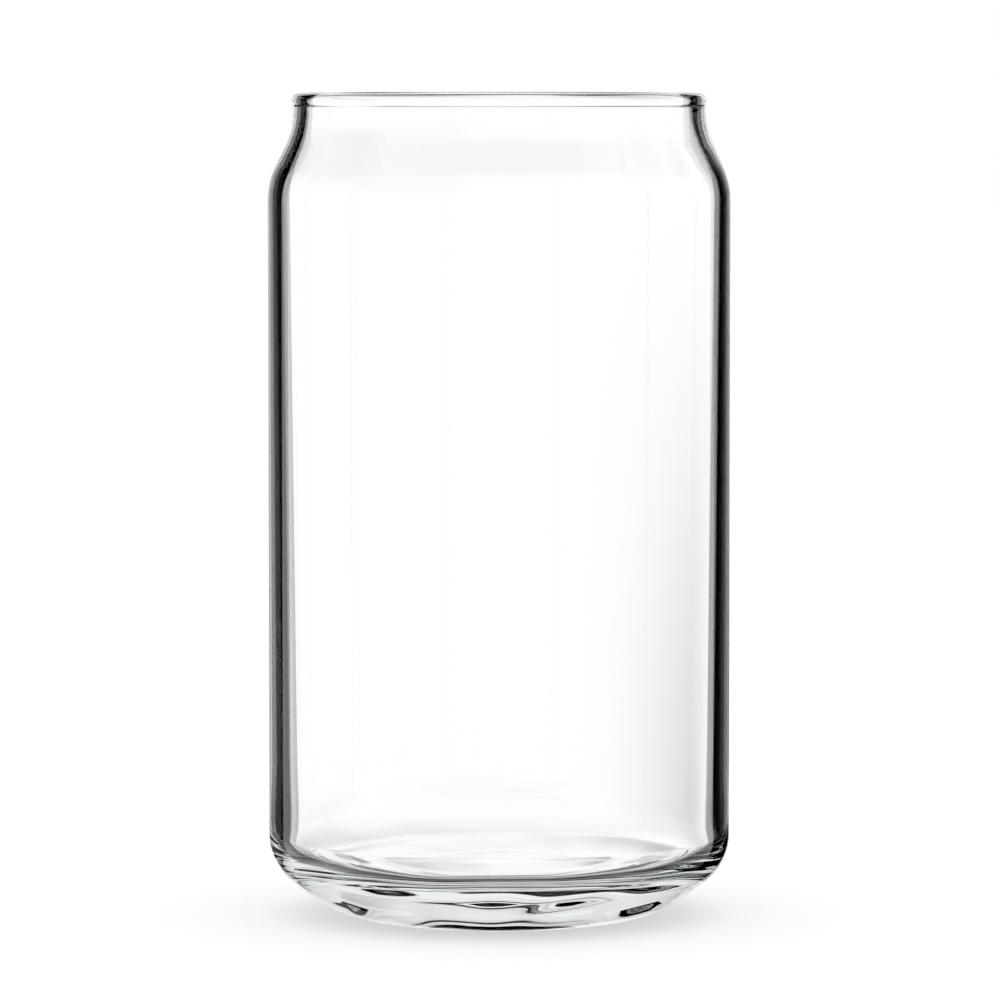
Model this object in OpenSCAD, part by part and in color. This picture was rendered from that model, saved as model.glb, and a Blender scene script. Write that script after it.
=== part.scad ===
// Can-shaped drinking glass: one blown piece of clear glass with a straight body,
// a drawn-in neck, a fire-polished rim and a thick base that tapers at the heel.
// Millimetres, +Z up, origin in the middle of the base on the standing plane.
// Every curve is a true arc: an outline is a short list of corners, and each
// corner has its own rounding.

/* [Overall] */
// Height from the table to the top of the rim
total_h = 134.2; // [110:0.1:165]
// Diameter of the body
body_d = 75.4; // [70:0.1:84]
// Outer diameter of the neck
neck_d = 67.2; // [62:0.1:69]

/* [Neck and rim] */
// Depth below the rim at which the shoulder would meet the body
shoulder_drop = 14.4; // [12:0.1:22]
// Depth below the rim at which the shoulder would meet the neck
neck_drop = 5.4; // [5:0.1:7]
// Rounding between the body and the shoulder
shoulder_round = 13.5; // [6:0.5:16]
// Rounding between the shoulder and the neck
neck_round = 12; // [6:0.5:13]
// Thickness of the rim bead
bead_t = 2.6; // [2.2:0.05:3.2]
// How far the bead stands out from the neck, inside and outside
bead_swell = 0.2; // [0.1:0.05:0.3]
// Rounding between the bead and the neck
bead_blend = 1; // [0.5:0.1:1.5]

/* [Wall] */
// Thickness of the wall at the shoulder
wall_top = 2.1; // [1.6:0.1:2.8]
// Thickness of the wall at the floor
wall_foot = 3; // [2.2:0.1:4]

/* [Base] */
// Height of the inner floor in the middle
floor_z = 8.2; // [6:0.1:14]
// Radius of the flat middle of the inner floor
floor_flat_r = 12; // [6:0.5:18]
// How much the floor would rise from there to the wall
floor_dish = 1; // [0.3:0.1:2]
// Rounding where the floor starts to rise
dish_round = 120; // [40:5:160]
// Rounding between the floor and the wall
floor_round = 4.5; // [3:0.5:8]
// Diameter at which the heel would meet the table
foot_d = 53.2; // [48:0.2:56]
// Height at which the heel would meet the body
heel_h = 8.8; // [6:0.1:10]
// Rounding between the heel and the body
heel_round = 9.2; // [6:0.2:12]
// Rounding between the heel and the standing ring
foot_round = 17; // [10:0.5:20]
// Width of the flat ring that the glass stands on
ring_w = 1.4; // [1:0.1:3]
// Rounding inside the standing ring
ring_round = 6; // [2:0.5:8]
// Height of the hollow in the underside
hollow_h = 1.4; // [0.6:0.1:2.4]
// Radius of the flat middle of the hollow
hollow_flat_r = 8; // [4:0.5:12]
// Rounding where the hollow starts to fall
hollow_round = 50; // [20:5:60]

/* [Hidden] */
$fn = 180;

body_r = body_d / 2;
neck_r = neck_d / 2;
foot_r = foot_d / 2;
bead_r = bead_t / 2;
neck_wall = bead_t - 2 * bead_swell;
shoulder_z = total_h - shoulder_drop;
neck_z = total_h - neck_drop;
bead_z = total_h - bead_r;
floor_edge_z = floor_z + floor_dish;
above_rim = total_h + 5;

// Lean of the shoulder from upright, and of the heel from level
shoulder_lean = atan2(body_r - neck_r, neck_z - shoulder_z);
heel_lean = atan2(heel_h, body_r - foot_r);
// The inner corners of the shoulder sit lower, so that the wall keeps its thickness
inner_shoulder_z = shoulder_z - wall_top * tan(shoulder_lean / 2);
inner_neck_z = neck_z - neck_wall * tan(shoulder_lean / 2);
ring_outer_r = foot_r - foot_round * tan(heel_lean / 2);
ring_inner_r = ring_outer_r - ring_w;

// Corners as [radius, height, rounding], from the axis outwards and then up
OUTSIDE = [
    [0, hollow_h, 0],
    [hollow_flat_r, hollow_h, hollow_round],
    [ring_inner_r, 0, ring_round],
    [foot_r, 0, foot_round],
    [body_r, heel_h, heel_round],
    [body_r, shoulder_z, shoulder_round],
    [neck_r, neck_z, neck_round],
    [neck_r, bead_z, 0],
    [0, bead_z, 0]
];
INSIDE = [
    [0, floor_z, 0],
    [floor_flat_r, floor_z, dish_round],
    [body_r - wall_foot, floor_edge_z, floor_round],
    [body_r - wall_top, inner_shoulder_z, shoulder_round - wall_top],
    [neck_r - neck_wall, inner_neck_z, neck_round + neck_wall],
    [neck_r - neck_wall, above_rim, 0],
    [0, above_rim, 0]
];

function place(c) = [c[0], c[1]];
function unit(v) = v / norm(v);
function half_angle(a, p, b) = acos(unit(a - p) * unit(b - p)) / 2;
// Above zero where the outline turns outwards at p, below zero where it turns in
function turn(a, p, b) = cross(p - a, b - p);
// Distance from the corner p to each end of its rounding
function setback(a, p, b, r) = r / tan(half_angle(a, p, b));
function round_centre(a, p, b, r) =
    p + unit(unit(a - p) + unit(b - p)) * r / sin(half_angle(a, p, b));

// The points that a corner leaves on the straight-sided outline
function trimmed(a, p, b, r) =
    r == 0 ? [p] : [
        p + unit(a - p) * setback(a, p, b, r),
        p + unit(b - p) * setback(a, p, b, r)
    ];

// The sliver between the straight cut across each rounded corner and its arc,
// for the corners that turn the way of side, 1 or -1
module corner_arcs(corners, side) {
    for (i = [1 : len(corners) - 2]) {
        a = place(corners[i - 1]);
        p = place(corners[i]);
        b = place(corners[i + 1]);
        r = corners[i][2];
        if (r > 0 && sign(turn(a, p, b)) == side)
            intersection() {
                translate(round_centre(a, p, b, r)) circle(r);
                polygon(concat(trimmed(a, p, b, r), [p]));
            }
    }
}

// Region inside a list of corners, with a true arc at each rounded one
module outline(corners) {
    n = len(corners);
    points = [
        for (i = [0 : n - 1])
            each trimmed(
                place(corners[(i + n - 1) % n]),
                place(corners[i]),
                place(corners[(i + 1) % n]),
                corners[i][2]
            )
    ];
    difference() {
        union() {
            polygon(points);
            corner_arcs(corners, 1);
        }
        corner_arcs(corners, -1);
    }
}

// Fills the groove between the bead and one face of the neck
module bead_groove() {
    face = neck_wall / 2;
    drop = sqrt(pow(bead_r + bead_blend, 2) - pow(face + bead_blend, 2));
    difference() {
        polygon([[0, 0], [face, -drop], [face + bead_blend, -drop]]);
        translate([face + bead_blend, -drop]) circle(bead_blend);
    }
}

// Section of the rounded rim, drawn about the middle of the bead
module bead() {
    circle(bead_r);
    bead_groove();
    mirror([1, 0]) bead_groove();
}

// Right half of the section through the axis
module section() {
    difference() {
        outline(OUTSIDE);
        outline(INSIDE);
    }
    translate([neck_r - neck_wall / 2, bead_z]) bead();
}

module glass() {
    color("#dfe8e6", 0.35)
    rotate_extrude()
    section();
}

glass();
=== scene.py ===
import math

import bpy
import numpy as np
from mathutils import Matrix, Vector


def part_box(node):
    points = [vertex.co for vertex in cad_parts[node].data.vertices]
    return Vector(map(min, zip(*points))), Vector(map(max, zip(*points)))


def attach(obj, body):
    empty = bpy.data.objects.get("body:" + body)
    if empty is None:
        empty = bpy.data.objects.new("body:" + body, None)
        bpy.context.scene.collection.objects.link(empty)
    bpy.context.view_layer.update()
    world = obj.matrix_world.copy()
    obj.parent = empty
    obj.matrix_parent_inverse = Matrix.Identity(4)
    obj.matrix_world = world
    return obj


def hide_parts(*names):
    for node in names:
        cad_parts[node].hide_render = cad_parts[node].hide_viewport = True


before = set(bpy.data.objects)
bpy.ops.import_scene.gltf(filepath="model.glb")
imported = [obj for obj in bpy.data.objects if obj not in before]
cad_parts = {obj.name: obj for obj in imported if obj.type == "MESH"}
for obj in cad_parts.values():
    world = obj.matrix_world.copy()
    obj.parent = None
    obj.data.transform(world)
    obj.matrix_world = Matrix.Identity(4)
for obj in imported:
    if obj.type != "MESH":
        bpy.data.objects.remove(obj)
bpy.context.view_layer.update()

bl_info = {
    "name": "Can-Shaped Drinking Glass",
    "version": (1, 0, 0),
    "blender": (4, 5, 0),
    "location": "View3D > Sidebar > Can Glass",
    "description": "A clear one-piece glass in the shape of a drinks can, with its light tent",
    "category": "Object",
}

MM = 0.001
NODE = "glass"
GLASS_LOW, GLASS_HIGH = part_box(NODE)
GLASS_HEIGHT = (GLASS_HIGH[2] - GLASS_LOW[2]) / MM
GLASS_WIDTH = (GLASS_HIGH[0] - GLASS_LOW[0]) / MM

# Columns of faces round the glass
AROUND = 360
# Steps along its section: coarsest turn and fewest steps of an arc, and longest step
ARC_STEP = math.radians(7)
FEWEST_STEPS = 3
LONGEST_STEP = 2.5 * MM
# Points nearer to one another than this, in metres, are taken as one
COINCIDENT = 1e-9

# Ripples of the blown inside: weight, waves round the glass, millimetres along the section
# for a wave to turn by one radian, and start
RIPPLES = (
    (1, 3, 7, 0.5),
    (0.7, 7, -5, 2.1),
    (0.5, 12, 3.2, 4.0),
)
# Millimetres: height of the rippled corner, radius of the calm floor, depth of the even rim
CORNER_REACH = 9
CALM_FLOOR = 10
RIM_FADE = 12

# The cards of the light tent, laid over white one after another. Angles are in degrees, from
# straight behind the glass to the right, and up from the level of the tent's middle. Name,
# left and right edge with their softness, lower and upper edge with theirs, and brightness
CARDS = (
    ("upper left", -160, -28, 8, 22, 100, 8, 0.6),
    ("ceiling", -200, 200, 1, 46, 100, 10, 0.0),
    ("high back", -11, 22, 3, 31, 100, 3, 0.0),
    ("low left", -79, -8, 11, -100, -26, 12, 0.25),
    ("low right", 29, 84, 14, -100, -25, 12, 0.0),
    # Painted shade: the table under and by the glass, dark where the glass's shadow falls
    ("table by the glass", -30, 65, 11, -100, -53, 4, 0.0),
    ("right shade", 9, 20, 6, -60, -4, 10, 0.65),
    ("left low flag", -50, -24, 2, -26, -14, 3, 0.45),
    ("right low flag", 12, 48, 3, -48, -31, 3, 0.0),
)
CARD_SOCKETS = ("Left", "Right", "Side Softness", "Low", "High", "End Softness")
TENT_COLUMNS = 96
TENT_ROWS = 48
# Black flags that stand close beside the glass and draw its dark edges, in millimetres: left
# edge, right edge and distance behind the axis, then their lower and upper ends
FLAGS = ((-68, -42.5, 22), (42.5, 72, 22))
FLAG_ENDS = (-30, 170)
BLACK = (0, 0, 0)
# Painted shade: a black crescent on the table in front of the foot, where the heel's shade
# falls, in millimetres: inner and outer radius, and height
PAINTED_TABLE_SHADE = (22, 40, -0.2)
# From the glass to the edge of the floor, and how far the camera sees, in metres
FLOOR_REACH = 3
SIGHT = 20
# Width of the camera's sensor in millimetres
SENSOR = 36
# Turns after which light that is still caught in the glass stays dark
LIGHT_BOUNCES = 20


def length(name, text, default):
    """A size in metres, whose default is given in millimetres."""
    return bpy.props.FloatProperty(
        name=name,
        description=text,
        default=default * MM,
        precision=5,
        unit="LENGTH",
        subtype="DISTANCE",
    )


class GlassShape(bpy.types.PropertyGroup):
    """Sizes of the glass. Height and width come from the frame."""

    total_h: length("Height", "From the table to the top of the rim", GLASS_HEIGHT)
    body_d: length("Body", "Diameter of the body", GLASS_WIDTH)
    neck_d: length("Neck", "Outer diameter of the neck", 67.2)
    shoulder_drop: length("Shoulder drop", "Depth at which the shoulder meets the body", 14.4)
    neck_drop: length("Neck drop", "Depth at which the shoulder meets the neck", 5.4)
    shoulder_round: length("Shoulder rounding", "Between body and shoulder", 13.5)
    neck_round: length("Neck rounding", "Between shoulder and neck", 12)
    bead_t: length("Bead", "Thickness of the rim bead", 2.6)
    bead_swell: length("Bead swell", "How far the bead stands out from the neck", 0.2)
    bead_blend: length("Bead blend", "Rounding between the bead and the neck", 1)
    wall_top: length("Wall at shoulder", "Thickness of the wall at the shoulder", 2.1)
    wall_foot: length("Wall at floor", "Thickness of the wall at the floor", 3)
    floor_z: length("Floor height", "Height of the inner floor in the middle", 8.2)
    floor_flat_r: length("Flat floor", "Radius of the flat middle of the floor", 12)
    floor_dish: length("Floor dish", "How much the floor would rise to the wall", 1)
    dish_round: length("Dish rounding", "Where the floor starts to rise", 120)
    floor_round: length("Floor rounding", "Between the floor and the wall", 4.5)
    foot_d: length("Foot", "Diameter at which the heel would meet the table", 53.2)
    heel_h: length("Heel height", "Height at which the heel would meet the body", 8.8)
    heel_round: length("Heel rounding", "Between the heel and the body", 9.2)
    foot_round: length("Foot rounding", "Between the heel and the standing ring", 17)
    ring_w: length("Ring width", "Width of the flat ring that the glass stands on", 1.4)
    ring_round: length("Ring rounding", "Inside the standing ring", 6)
    hollow_h: length("Hollow height", "Height of the hollow in the underside", 1.4)
    hollow_flat_r: length("Hollow flat", "Radius of the flat middle of the hollow", 8)
    hollow_round: length("Hollow rounding", "Where the hollow starts to fall", 50)


class GlassFinish(bpy.types.PropertyGroup):
    """Finish of the glass."""

    ior: bpy.props.FloatProperty(
        name="Index", description="Refractive index of soda glass", default=1.52
    )
    body_colour: bpy.props.FloatVectorProperty(
        name="Body colour",
        description="One minus this is what a metre of the glass takes away, at density 1",
        default=(0.3, 0.7, 0.65),
        subtype="COLOR",
    )
    body_density: bpy.props.FloatProperty(
        name="Body density", description="How strongly the glass takes light away", default=1
    )
    cavity_shift: length("Cavity shift", "How far the cavity sits to one side", 0.25)
    shift_side: bpy.props.FloatProperty(
        name="Shift side",
        description="Turn from +X to the side with the thin wall",
        default=0,
        subtype="ANGLE",
    )
    ripple: length("Ripple", "Height of the ripples at the corner of the floor", 0.06)


class StudioLook(bpy.types.PropertyGroup):
    """Floor, light tent and camera."""

    floor_colour: bpy.props.FloatVectorProperty(
        name="Floor",
        description="Colour of the floor",
        default=(0.6, 0.6, 0.6),
        subtype="COLOR",
    )
    light: bpy.props.FloatProperty(
        name="Light", description="Strength of the soft light all round", default=1
    )
    floor_lift: bpy.props.FloatProperty(
        name="Floor lift", description="Light that the camera sees added on the floor", default=0.5
    )
    lens: bpy.props.FloatProperty(
        name="Lens",
        description="Focal length of the camera in millimetres",
        default=221,
        unit="CAMERA",
    )
    tent_radius: length("Tent", "From the glass to the wall of the light tent", 400)
    distance: length("Distance", "From the camera to the axis of the glass", 1000)
    eye_height: length("Eye height", "Height of the camera above the table", 139.7)
    aside: length("Aside", "How far the camera stands right of the glass", 0.16)
    pitch: bpy.props.FloatProperty(
        name="Pitch",
        description="How far the camera looks down",
        default=math.radians(4.11),
        subtype="ANGLE",
    )


def unit(v):
    """The vector at length one."""
    return v / np.linalg.norm(v)


def arc(centre, radius, start, sweep):
    """Points of an arc, centre + radius * (cos, sin), and the normals of glass on its left:
    the same ray where it turns left, and the opposite one where it turns right."""
    steps = max(abs(sweep) / ARC_STEP, abs(sweep) * radius / LONGEST_STEP, FEWEST_STEPS)
    angle = start + sweep * np.linspace(0, 1, math.ceil(steps) + 1)
    ray = np.stack([np.cos(angle), np.sin(angle)], axis=1)
    return centre + radius * ray, ray * math.copysign(1, sweep)


def corner_arc(before, corner, after, radius):
    """The arc that touches both sides of a corner. Its centre lies on the bisector, at
    radius / sin(half the angle) from the corner."""
    u, w = unit(before - corner), unit(after - corner)
    half = math.acos(u @ w) / 2
    centre = corner + unit(u + w) * radius / math.sin(half)
    first = corner + u * radius / math.tan(half) - centre
    last = corner + w * radius / math.tan(half) - centre
    start = math.atan2(first[1], first[0])
    sweep = math.atan2(last[1], last[0]) - start
    return arc(centre, radius, start, (sweep + math.pi) % (2 * math.pi) - math.pi)


def corner_arcs(corners):
    """The arcs at the inner corners of a list of [radius, height, rounding]."""
    places = np.array([corner[:2] for corner in corners])
    return [
        corner_arc(*places[i - 1 : i + 2], corners[i][2])
        for i in range(1, len(corners) - 1)
    ]


def outside_corners(s, shoulder_z, neck_z, top_z):
    """Corners from the middle of the underside out and up to the rim bead."""
    body_r, neck_r, foot_r = s.body_d / 2, s.neck_d / 2, s.foot_d / 2
    heel_lean = math.atan2(s.heel_h, body_r - foot_r)
    ring_inner_r = foot_r - s.foot_round * math.tan(heel_lean / 2) - s.ring_w
    return [
        (0, s.hollow_h, 0),
        (s.hollow_flat_r, s.hollow_h, s.hollow_round),
        (ring_inner_r, 0, s.ring_round),
        (foot_r, 0, s.foot_round),
        (body_r, s.heel_h, s.heel_round),
        (body_r, shoulder_z, s.shoulder_round),
        (neck_r, neck_z, s.neck_round),
        (neck_r, top_z, 0),
    ]


def inside_corners(s, shoulder_z, neck_z, top_z, lean):
    """Corners from the rim bead down the inside and in to the middle of the floor."""
    body_r, neck_wall = s.body_d / 2, s.bead_t - 2 * s.bead_swell
    neck_r = s.neck_d / 2 - neck_wall
    inner_shoulder_z = shoulder_z - s.wall_top * math.tan(lean / 2)
    inner_neck_z = neck_z - neck_wall * math.tan(lean / 2)
    return [
        (neck_r, top_z, 0),
        (neck_r, inner_neck_z, s.neck_round + neck_wall),
        (body_r - s.wall_top, inner_shoulder_z, s.shoulder_round - s.wall_top),
        (body_r - s.wall_foot, s.floor_z + s.floor_dish, s.floor_round),
        (s.floor_flat_r, s.floor_z, s.dish_round),
        (0, s.floor_z, 0),
    ]


def bead_arcs(s, bead_z, drop):
    """The rounded rim: a hollow blend, the bead itself, and a second blend."""
    face = s.bead_t / 2 - s.bead_swell + s.bead_blend
    middle = s.neck_d / 2 - s.bead_t / 2 + s.bead_swell
    lean = math.atan2(drop, face)
    outer, inner = (middle + face, bead_z - drop), (middle - face, bead_z - drop)
    return [
        arc(outer, s.bead_blend, math.pi, -lean),
        arc((middle, bead_z), s.bead_t / 2, -lean, math.pi + 2 * lean),
        arc(inner, s.bead_blend, lean, -lean),
    ]


def section_line(s):
    """Points and normals along the section: out under the base, up the outside, over the
    bead, and down the inside to the middle of the floor. Straight stretches get extra points."""
    shoulder_z, neck_z = s.total_h - s.shoulder_drop, s.total_h - s.neck_drop
    lean = math.atan2((s.body_d - s.neck_d) / 2, neck_z - shoulder_z)
    bead_z = s.total_h - s.bead_t / 2
    reach = s.bead_t / 2 + s.bead_blend
    drop = math.sqrt(reach**2 - (reach - s.bead_swell) ** 2)
    outside = outside_corners(s, shoulder_z, neck_z, bead_z - drop)
    inside = inside_corners(s, shoulder_z, neck_z, bead_z - drop, lean)
    arcs = corner_arcs(outside) + bead_arcs(s, bead_z, drop) + corner_arcs(inside)
    down, up = [(0, -1)], [(0, 1)]
    points = np.concatenate([[outside[0][:2]], *(a[0] for a in arcs), [inside[-1][:2]]])
    normals = np.concatenate([down, *(a[1] for a in arcs), up])
    return filled_in(points, normals)


def along(points):
    """Length along the line up to each point."""
    steps = np.linalg.norm(np.diff(points, axis=0), axis=1)
    return np.concatenate([[0], np.cumsum(steps)])


def filled_in(points, normals):
    """Leaves out coincident points, and adds even steps to every stretch of the line that is
    longer than LONGEST_STEP."""
    apart = np.append(np.diff(along(points)) > COINCIDENT, True)
    points, normals = points[apart], normals[apart]
    lengths = along(points)
    steps = np.diff(lengths)
    counts = np.ceil(steps / LONGEST_STEP).astype(int)
    places = [np.arange(n) * step / n + at for at, step, n in zip(lengths, steps, counts)]
    every = np.append(np.concatenate(places), lengths[-1])
    line = [np.interp(every, lengths, column) for column in (*points.T, *normals.T)]
    return np.stack(line[:2], axis=1), np.stack(line[2:], axis=1)


def smooth(x):
    """Smooth step, x * x * (3 - 2 * x), from 0 at 0 to 1 at 1."""
    x = np.clip(x, 0, 1)
    return x * x * (3 - 2 * x)


def ripples(points, turn):
    """Crossed waves, weight * sin(count * turn + length / reach + start), that are full at
    the corner of the floor, and gone on the wall and in the middle of the floor."""
    length_mm = along(points)[:, None] / MM
    waves = sum(
        weight * np.sin(count * turn + length_mm / reach + start)
        for weight, count, reach, start in RIPPLES
    )
    radius, height = points.T / MM
    corner = np.exp(-(((height - height[-1]) / CORNER_REACH) ** 2))
    return (corner * smooth(radius / CALM_FLOOR - 1))[:, None] * waves


def unevenness(points, normals, turn, finish):
    """How far the blown inside stands off its true surface: the shift of the cavity to one
    side, taken along the normal, and the ripples. Both fade in below the rim."""
    height = points[:, 1] / MM
    top = np.argmax(height)
    inside = (np.arange(len(points)) > top) * smooth((height[top] - height) / RIM_FADE)
    shift = finish.cavity_shift * normals[:, :1] * np.cos(turn - finish.shift_side)
    return inside[:, None] * (shift + finish.ripple * ripples(points, turn))


def around(line, turn):
    """Rings of a line of radii and heights: (radius * cos, radius * sin, height)."""
    radius, height = line[:, :1], line[:, 1:]
    ring = [radius * np.cos(turn), radius * np.sin(turn), height + 0 * turn]
    return np.stack(ring, axis=2)


def numbered(rings):
    """The number of each point, that of the one beside it, and the faces between rings."""
    here = np.arange(rings.shape[0] * rings.shape[1]).reshape(rings.shape[:2])
    beside = np.roll(here, -1, axis=1)
    quads = np.stack([here[:-1], beside[:-1], beside[1:], here[1:]], axis=2).reshape(-1, 4)
    return here, beside, quads


def closed_mesh(name, rings, first, last):
    """Smooth mesh of rings of points, closed by a point at each end."""
    count, columns = rings.shape[:2]
    here, beside, quads = (part + 1 for part in numbered(rings))
    under = np.stack([0 * here[0], beside[0], here[0]], axis=1)
    over = np.stack([0 * here[0] + count * columns + 1, here[-1], beside[-1]], axis=1)
    mesh = bpy.data.meshes.new(name)
    places = np.concatenate([[first], rings.reshape(-1, 3), [last]])
    mesh.from_pydata(places.tolist(), [], quads.tolist() + under.tolist() + over.tolist())
    mesh.polygons.foreach_set("use_smooth", np.ones(len(mesh.polygons), bool))
    return mesh


def revolved(name, points, normals, finish):
    """Surface of revolution of the line, moved along its normals by the unevenness. The
    normals lean back by the unevenness's slope along the line and round the axis."""
    step = 2 * math.pi / AROUND
    turn = np.arange(AROUND) * step
    off = unevenness(points, normals, turn, finish)
    rise = np.gradient(off, along(points), axis=0)[1:-1, :, None]
    off, rings, facing = off[1:-1], points[1:-1], normals[1:-1]
    swing = (np.roll(off, -1, axis=1) - np.roll(off, 1, axis=1)) / (2 * step * rings[:, :1])
    outward = around(facing, turn)
    onward = around(np.stack([-facing[:, 1], facing[:, 0]], axis=1), turn)
    sideways = np.stack([-np.sin(turn), np.cos(turn), 0 * turn], axis=1)
    places = around(rings, turn) + off[:, :, None] * outward
    lean = outward - rise * onward - swing[:, :, None] * sideways
    lean /= np.linalg.norm(lean, axis=2, keepdims=True)
    mesh = closed_mesh(name, places, (0, 0, points[0, 1]), (0, 0, points[-1, 1]))
    lean = np.concatenate([[(0, 0, -1)], lean.reshape(-1, 3), [(0, 0, 1)]])
    mesh.normals_split_custom_set_from_vertices(lean.tolist())
    return mesh


def clear_glass(finish):
    """Clear colourless glass."""
    material = bpy.data.materials.new("clear glass")
    material.use_nodes = True
    shader = material.node_tree.nodes["Principled BSDF"]
    shader.inputs["Base Color"].default_value = (1, 1, 1, 1)
    shader.inputs["Roughness"].default_value = 0
    shader.inputs["IOR"].default_value = finish.ior
    shader.inputs["Transmission Weight"].default_value = 1
    body = material.node_tree.nodes.new("ShaderNodeVolumeAbsorption")
    body.inputs["Color"].default_value = (*finish.body_colour, 1)
    body.inputs["Density"].default_value = finish.body_density
    out = material.node_tree.nodes["Material Output"]
    material.node_tree.links.new(body.outputs[0], out.inputs["Volume"])
    return material


class MakeGlass(bpy.types.Operator):
    """Makes the glass as one closed surface of revolution, in place of its CAD node"""

    bl_idname = "can_glass.make_glass"
    bl_label = "Glass"

    def execute(self, context):
        scene = context.scene
        points, normals = section_line(scene.glass_shape)
        mesh = revolved("can_glass", points, normals, scene.glass_finish)
        mesh.materials.append(clear_glass(scene.glass_finish))
        glass = bpy.data.objects.new("can_glass", mesh)
        scene.collection.objects.link(glass)
        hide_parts(NODE)
        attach(glass, "root")
        return {"FINISHED"}


def make_camera(scene, look):
    """The camera a little higher than the rim, looking down at the middle of the glass."""
    data = bpy.data.cameras.new("camera")
    data.sensor_width = SENSOR
    data.lens = look.lens
    data.clip_end = SIGHT
    camera = bpy.data.objects.new("camera", data)
    camera.location = (look.aside, -look.distance, look.eye_height)
    camera.rotation_euler = (math.pi / 2 - look.pitch, 0, 0)
    scene.collection.objects.link(camera)
    scene.camera = camera


def make_world(scene, look):
    """Plain white all round. It lights the floor, and is the white behind the glass."""
    world = bpy.data.worlds.new("white studio")
    world.use_nodes = True
    background = world.node_tree.nodes["Background"]
    background.inputs["Color"].default_value = (1, 1, 1, 1)
    background.inputs["Strength"].default_value = look.light
    scene.world = world


def make_floor(scene, look):
    """A plain square floor that the glass neither mirrors nor bends: the tent's lower half
    takes its place there."""
    mesh = bpy.data.meshes.new("floor")
    sides = ((-1, -1), (1, -1), (1, 1), (-1, 1))
    corners = [(x * FLOOR_REACH, y * FLOOR_REACH, 0) for x, y in sides]
    mesh.from_pydata(corners, [], [range(len(corners))])
    floor = bpy.data.objects.new("floor", mesh)
    floor.visible_transmission = False
    floor.visible_glossy = False
    scene.collection.objects.link(floor)
    mesh.materials.append(floor_paint(look))


def math_builder(tree):
    """A function that adds a Math node to a tree and returns its output."""

    def maths(operation, *values):
        node = tree.nodes.new("ShaderNodeMath")
        node.operation = operation
        for socket, value in zip(node.inputs, values):
            if isinstance(value, (int, float)):
                socket.default_value = value
            else:
                tree.links.new(value, socket)
        return node.outputs[0]

    return maths


def matt(name, colour):
    """Matt paint that mirrors nothing."""
    material = bpy.data.materials.new(name)
    material.use_nodes = True
    shader = material.node_tree.nodes["Principled BSDF"]
    shader.inputs["Base Color"].default_value = (*colour, 1)
    shader.inputs["Roughness"].default_value = 1
    shader.inputs["Specular IOR Level"].default_value = 0
    return material


def floor_paint(look):
    """Matt pale floor. The camera also sees a little light added, so that it reads as white
    where nothing shades it."""
    material = matt("pale floor", look.floor_colour)
    tree = material.node_tree
    shader = tree.nodes["Principled BSDF"]
    shader.inputs["Emission Color"].default_value = (1, 1, 1, 1)
    path = tree.nodes.new("ShaderNodeLightPath")
    lift = math_builder(tree)("MULTIPLY", path.outputs["Is Camera Ray"], look.floor_lift)
    tree.links.new(lift, shader.inputs["Emission Strength"])
    return material


def ball(name, radius):
    """Sphere: a half circle of radius * (cos(tilt), sin(tilt)), carried round."""
    tilt = (np.arange(1, TENT_ROWS) / TENT_ROWS - 0.5) * math.pi
    line = radius * np.stack([np.cos(tilt), np.sin(tilt)], axis=1)
    turn = np.arange(TENT_COLUMNS) * 2 * math.pi / TENT_COLUMNS
    return closed_mesh(name, around(line, turn), (0, 0, -radius), (0, 0, radius))


def soft_card():
    """Node group: 1 inside a card of the tent and 0 outside it. Each edge is a smooth step
    over its softness in degrees to both sides."""
    group = bpy.data.node_groups.new("soft card", "ShaderNodeTree")
    for name in ("Across", "Up", *CARD_SOCKETS):
        group.interface.new_socket(name, in_out="INPUT", socket_type="NodeSocketFloat")
    group.interface.new_socket("Mask", in_out="OUTPUT", socket_type="NodeSocketFloat")
    given = group.nodes.new("NodeGroupInput").outputs
    out = group.nodes.new("NodeGroupOutput").inputs
    maths = math_builder(group)

    def edge(angle, at, softness):
        """Rises from 0 to 1 while the angle passes the edge."""
        step = group.nodes.new("ShaderNodeMapRange")
        step.interpolation_type = "SMOOTHSTEP"
        group.links.new(given[angle], step.inputs["Value"])
        soft = given[softness]
        group.links.new(maths("SUBTRACT", given[at], soft), step.inputs["From Min"])
        group.links.new(maths("ADD", given[at], soft), step.inputs["From Max"])
        return step.outputs["Result"]

    left, right, side_soft, low, high, end_soft = CARD_SOCKETS
    wide = maths("SUBTRACT", edge("Across", left, side_soft), edge("Across", right, side_soft))
    tall = maths("SUBTRACT", edge("Up", low, end_soft), edge("Up", high, end_soft))
    group.links.new(maths("MULTIPLY", wide, tall), out["Mask"])
    return group


def tent_angles(tree, maths, radius):
    """Where a place on the tent lies, in degrees: across from straight behind, and up."""
    place = tree.nodes.new("ShaderNodeTexCoord")
    parts = tree.nodes.new("ShaderNodeSeparateXYZ")
    tree.links.new(place.outputs["Object"], parts.inputs[0])
    x, y, z = parts.outputs
    across = maths("DEGREES", maths("ARCTAN2", x, y))
    up = maths("DEGREES", maths("ARCSINE", maths("DIVIDE", z, radius)))
    return across, up


def tent_level(tree, maths, across, up):
    """Brightness of the tent: white, where each card in turn pulls the level to its own."""
    group = soft_card()
    level = 1
    for name, *edges, brightness in CARDS:
        card = tree.nodes.new("ShaderNodeGroup")
        card.node_tree = group
        card.label = name
        tree.links.new(across, card.inputs["Across"])
        tree.links.new(up, card.inputs["Up"])
        for socket, degrees in zip(CARD_SOCKETS, edges):
            card.inputs[socket].default_value = degrees
        change = maths("MULTIPLY", card.outputs["Mask"], maths("SUBTRACT", brightness, level))
        level = maths("ADD", level, change)
    return level


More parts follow.
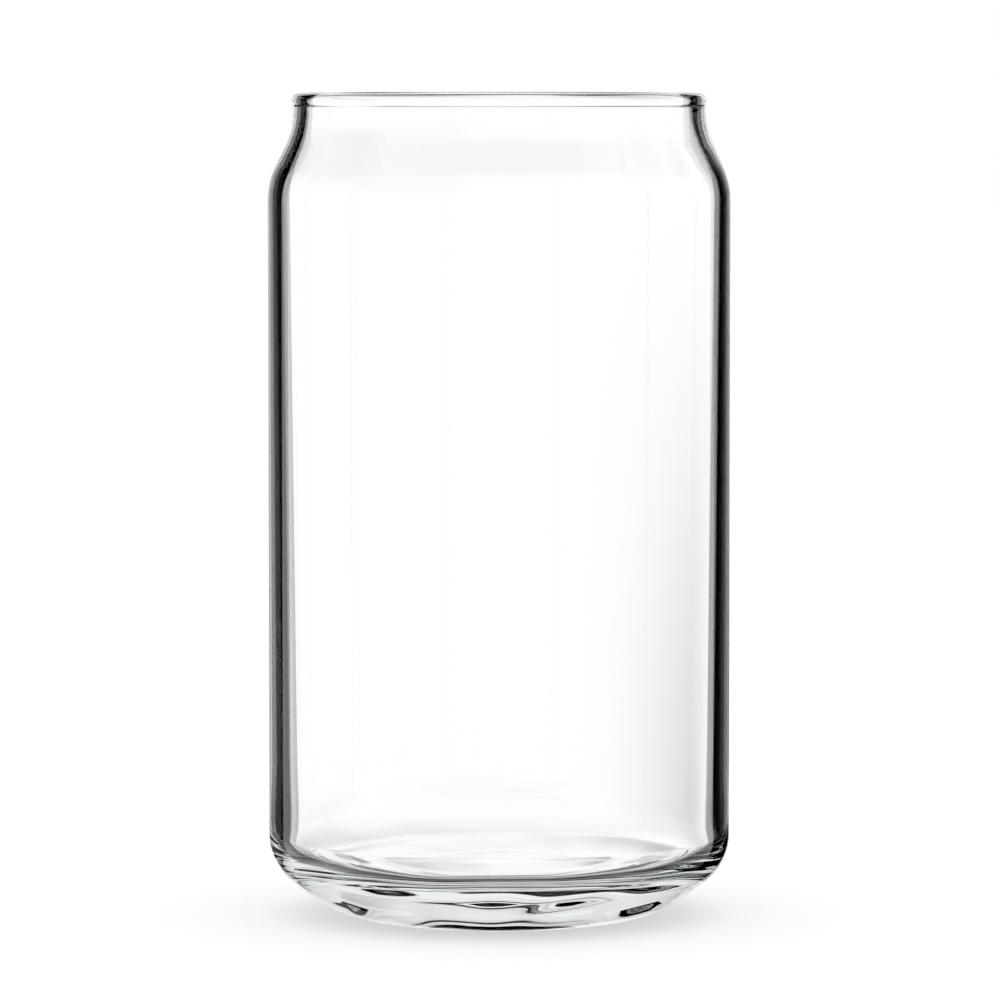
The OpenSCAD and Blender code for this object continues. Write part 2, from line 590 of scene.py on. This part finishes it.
def tent_light(look):
    """Soft light from the wall of the tent."""
    material = bpy.data.materials.new("tent")
    material.use_nodes = True
    tree = material.node_tree
    tree.nodes.clear()
    maths = math_builder(tree)
    level = tent_level(tree, maths, *tent_angles(tree, maths, look.tent_radius))
    light = tree.nodes.new("ShaderNodeEmission")
    tree.links.new(maths("MULTIPLY", level, look.light), light.inputs["Strength"])
    out = tree.nodes.new("ShaderNodeOutputMaterial")
    tree.links.new(light.outputs[0], out.inputs["Surface"])
    material.cycles.emission_sampling = "NONE"
    return material


def turn_with_camera(scene, thing):
    """Hides a thing that only the glass shall see, and turns it with the camera, as if the
    glass stood on a turntable in front of it."""
    turn = thing.constraints.new("COPY_ROTATION")
    turn.target = scene.camera
    turn.use_x = turn.use_y = False
    thing.visible_camera = False
    thing.visible_diffuse = False
    thing.visible_shadow = False
    scene.collection.objects.link(thing)


def make_tent(scene, look):
    """The light tent that the glass mirrors and bends."""
    mesh = ball("tent", look.tent_radius)
    mesh.materials.append(tent_light(look))
    tent = bpy.data.objects.new("tent", mesh)
    tent.location = (0, 0, GLASS_HEIGHT * MM / 2)
    turn_with_camera(scene, tent)


def make_painted_table_shade(scene):
    """Painted shade of the heel on the table, which the heel mirrors: a flat black crescent in
    front of the foot. Its inner edge has the radius outer - (outer - inner) * sin(turn)."""
    inner, outer, height = PAINTED_TABLE_SHADE
    turn = np.linspace(0, math.pi, AROUND // 2)
    radius = np.stack([outer + 0 * turn, outer - (outer - inner) * np.sin(turn)])
    ring = [-radius * np.cos(turn), -radius * np.sin(turn), height + 0 * radius]
    rings = np.stack(ring, axis=2) * MM
    # The last face would join the two ends
    quads = numbered(rings)[2][:-1]
    mesh = bpy.data.meshes.new("painted_table_shade")
    mesh.from_pydata(rings.reshape(-1, 3).tolist(), [], quads.tolist())
    # Black paint for the painted shade of the table
    mesh.materials.append(matt("painted table shade", BLACK))
    turn_with_camera(scene, bpy.data.objects.new("painted_table_shade", mesh))


def make_flags(scene):
    """The black flags beside the glass: upright rectangles."""
    low, high = FLAG_ENDS
    corners = [
        (x * MM, behind * MM, z * MM)
        for left, right, behind in FLAGS
        for x, z in ((left, low), (right, low), (right, high), (left, high))
    ]
    mesh = bpy.data.meshes.new("flags")
    mesh.from_pydata(corners, [], np.arange(len(corners)).reshape(-1, 4).tolist())
    mesh.materials.append(matt("black flag", BLACK))
    turn_with_camera(scene, bpy.data.objects.new("flags", mesh))


class MakeStage(bpy.types.Operator):
    """Makes the floor, the light tent and the camera"""

    bl_idname = "can_glass.make_stage"
    bl_label = "Stage"

    def execute(self, context):
        scene, look = context.scene, context.scene.studio_look
        make_camera(scene, look)
        make_world(scene, look)
        make_floor(scene, look)
        make_tent(scene, look)
        make_flags(scene)
        # Painted shade of the heel on the table, which only the glass sees
        make_painted_table_shade(scene)
        scene.view_settings.view_transform = "Standard"
        scene.cycles.max_bounces = LIGHT_BOUNCES
        scene.cycles.transmission_bounces = LIGHT_BOUNCES
        scene.cycles.glossy_bounces = LIGHT_BOUNCES
        return {"FINISHED"}


class CanGlassPanel(bpy.types.Panel):
    """Lists the pieces and the sizes of the glass"""

    bl_idname = "VIEW3D_PT_can_glass"
    bl_label = "Can Glass"
    bl_space_type = "VIEW_3D"
    bl_region_type = "UI"
    bl_category = "Can Glass"

    def draw(self, context):
        for maker in MAKERS:
            self.layout.operator(maker.bl_idname)
        for pointer, group in GROUPS.items():
            for name in group.__annotations__:
                self.layout.prop(getattr(context.scene, pointer), name)


GROUPS = {"glass_shape": GlassShape, "glass_finish": GlassFinish, "studio_look": StudioLook}
MAKERS = (MakeGlass, MakeStage)
CLASSES = (*GROUPS.values(), *MAKERS, CanGlassPanel)


def register():
    """Adds the classes, and the settings groups to the scene."""
    for cls in CLASSES:
        bpy.utils.register_class(cls)
    for name, group in GROUPS.items():
        setattr(bpy.types.Scene, name, bpy.props.PointerProperty(type=group))


def unregister():
    """Takes the settings groups and the classes away again."""
    for name in GROUPS:
        delattr(bpy.types.Scene, name)
    for cls in reversed(CLASSES):
        bpy.utils.unregister_class(cls)


def main():
    """Makes every piece and the stage."""
    register()
    bpy.ops.can_glass.make_glass()
    bpy.ops.can_glass.make_stage()


if __name__ == "__main__":
    main()
